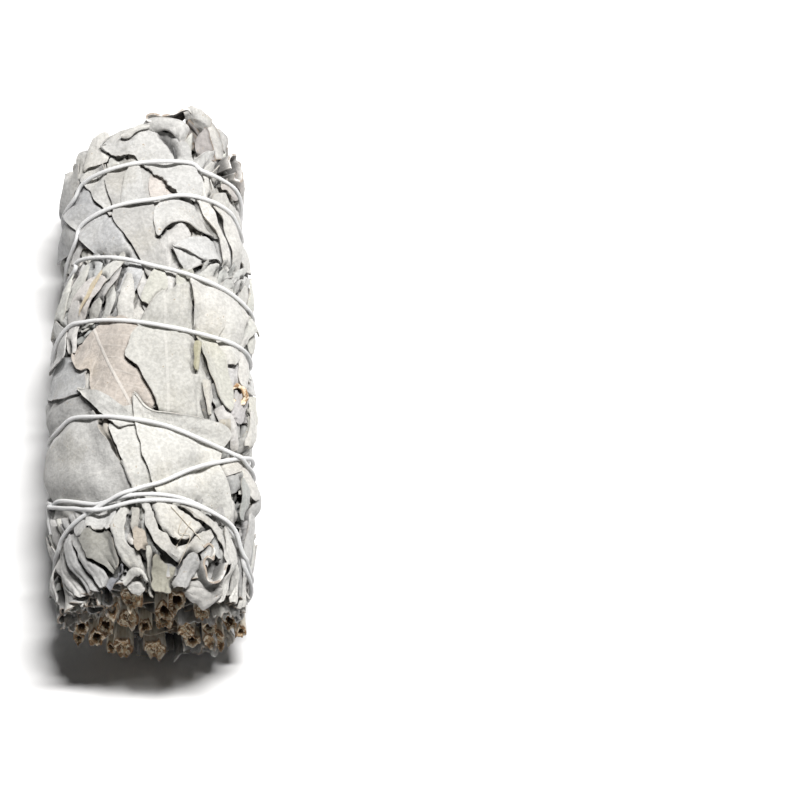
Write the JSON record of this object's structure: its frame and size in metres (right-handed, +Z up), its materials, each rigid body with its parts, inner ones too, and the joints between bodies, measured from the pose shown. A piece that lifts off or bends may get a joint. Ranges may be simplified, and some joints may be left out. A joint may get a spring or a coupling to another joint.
{
  "type": "sage smudge stick",
  "caption": "Tied stick of dried sage: leafy sprigs laid side by side, wrapped in broad pale leaves and wound with cotton string, cut stems showing at the butt.",
  "frame": {"origin": "under the middle of the stick, on the surface that it lies on", "axes": "+Y along the stick towards the leaf tips, with the cut stems at -Y; +X to the right seen from the stems; +Z up"},
  "size_m": [0.0405, 0.1024, 0.037],
  "materials": {
    "outer_leaf": "dried leaf, felted and matt, pale grey-white with a faint green or brown cast",
    "inner_leaf": "dried leaf, folded and rolled, matt, greyer, with brown torn edges",
    "curled_leaf": "dried leaf, curled, matt, warm grey",
    "stem": "dry woody stem, matt, with a darker cut end and hollow pith",
    "string": "twisted cotton string, off-white, matt"
  },
  "bodies": {
    "root": {"wrap_leaf_resting_low": "outer_leaf", "wrap_leaf_resting_top": "outer_leaf", "wrap_leaf_crown": "outer_leaf", "wrap_leaf_grey_shoulder": "outer_leaf", "wrap_leaf_pointed_fold": "outer_leaf", "wrap_leaf_right_shoulder": "outer_leaf", "wrap_leaf_folded_tip_leaf": "outer_leaf", "wrap_leaf_warm_leaf": "outer_leaf", "wrap_leaf_grey_side_leaf": "outer_leaf", "wrap_leaf_long_strip": "outer_leaf", "wrap_leaf_slim_strip": "outer_leaf", "wrap_leaf_cool_leaf": "outer_leaf", "wrap_leaf_pale_leaf": "outer_leaf", "wrap_leaf_right_upper": "outer_leaf", "wrap_leaf_right_flank": "outer_leaf", "wrap_leaf_left_mid": "outer_leaf", "wrap_leaf_largest_leaf": "outer_leaf", "wrap_leaf_left_low": "outer_leaf", "wrap_leaf_strip_low": "outer_leaf", "wrap_leaf_crescent": "outer_leaf", "wrap_leaf_butt_left": "outer_leaf", "wrap_leaf_butt_right": "outer_leaf", "wrap_leaf_right_low": "outer_leaf", "wrap_leaf_under_right_low": "outer_leaf", "wrap_leaf_under_right_top": "outer_leaf", "wrap_leaf_under_left_low": "outer_leaf", "wrap_leaf_under_left_top": "outer_leaf", "string": "string", "curled_tip_leaf_01": "curled_leaf", "curled_tip_leaf_02": "curled_leaf", "inner_leaves_01": "inner_leaf", "inner_leaves_02": "inner_leaf", "inner_leaves_03": "inner_leaf", "inner_leaves_04": "inner_leaf", "inner_leaves_05": "inner_leaf", "inner_leaves_06": "inner_leaf", "inner_leaves_07": "inner_leaf", "inner_leaves_08": "inner_leaf", "inner_leaves_09": "inner_leaf", "inner_leaves_10": "inner_leaf", "inner_leaves_11": "inner_leaf", "inner_leaves_12": "inner_leaf", "stem_01": "stem", "stem_02": "stem", "stem_03": "stem", "stem_04": "stem", "stem_05": "stem", "stem_06": "stem", "stem_07": "stem", "stem_08": "stem", "stem_09": "stem", "stem_10": "stem", "stem_11": "stem", "stem_12": "stem", "stem_13": "stem", "stem_14": "stem", "stem_15": "stem", "stem_16": "stem", "stem_17": "stem", "stem_18": "stem"}
  },
  "joints": []
}
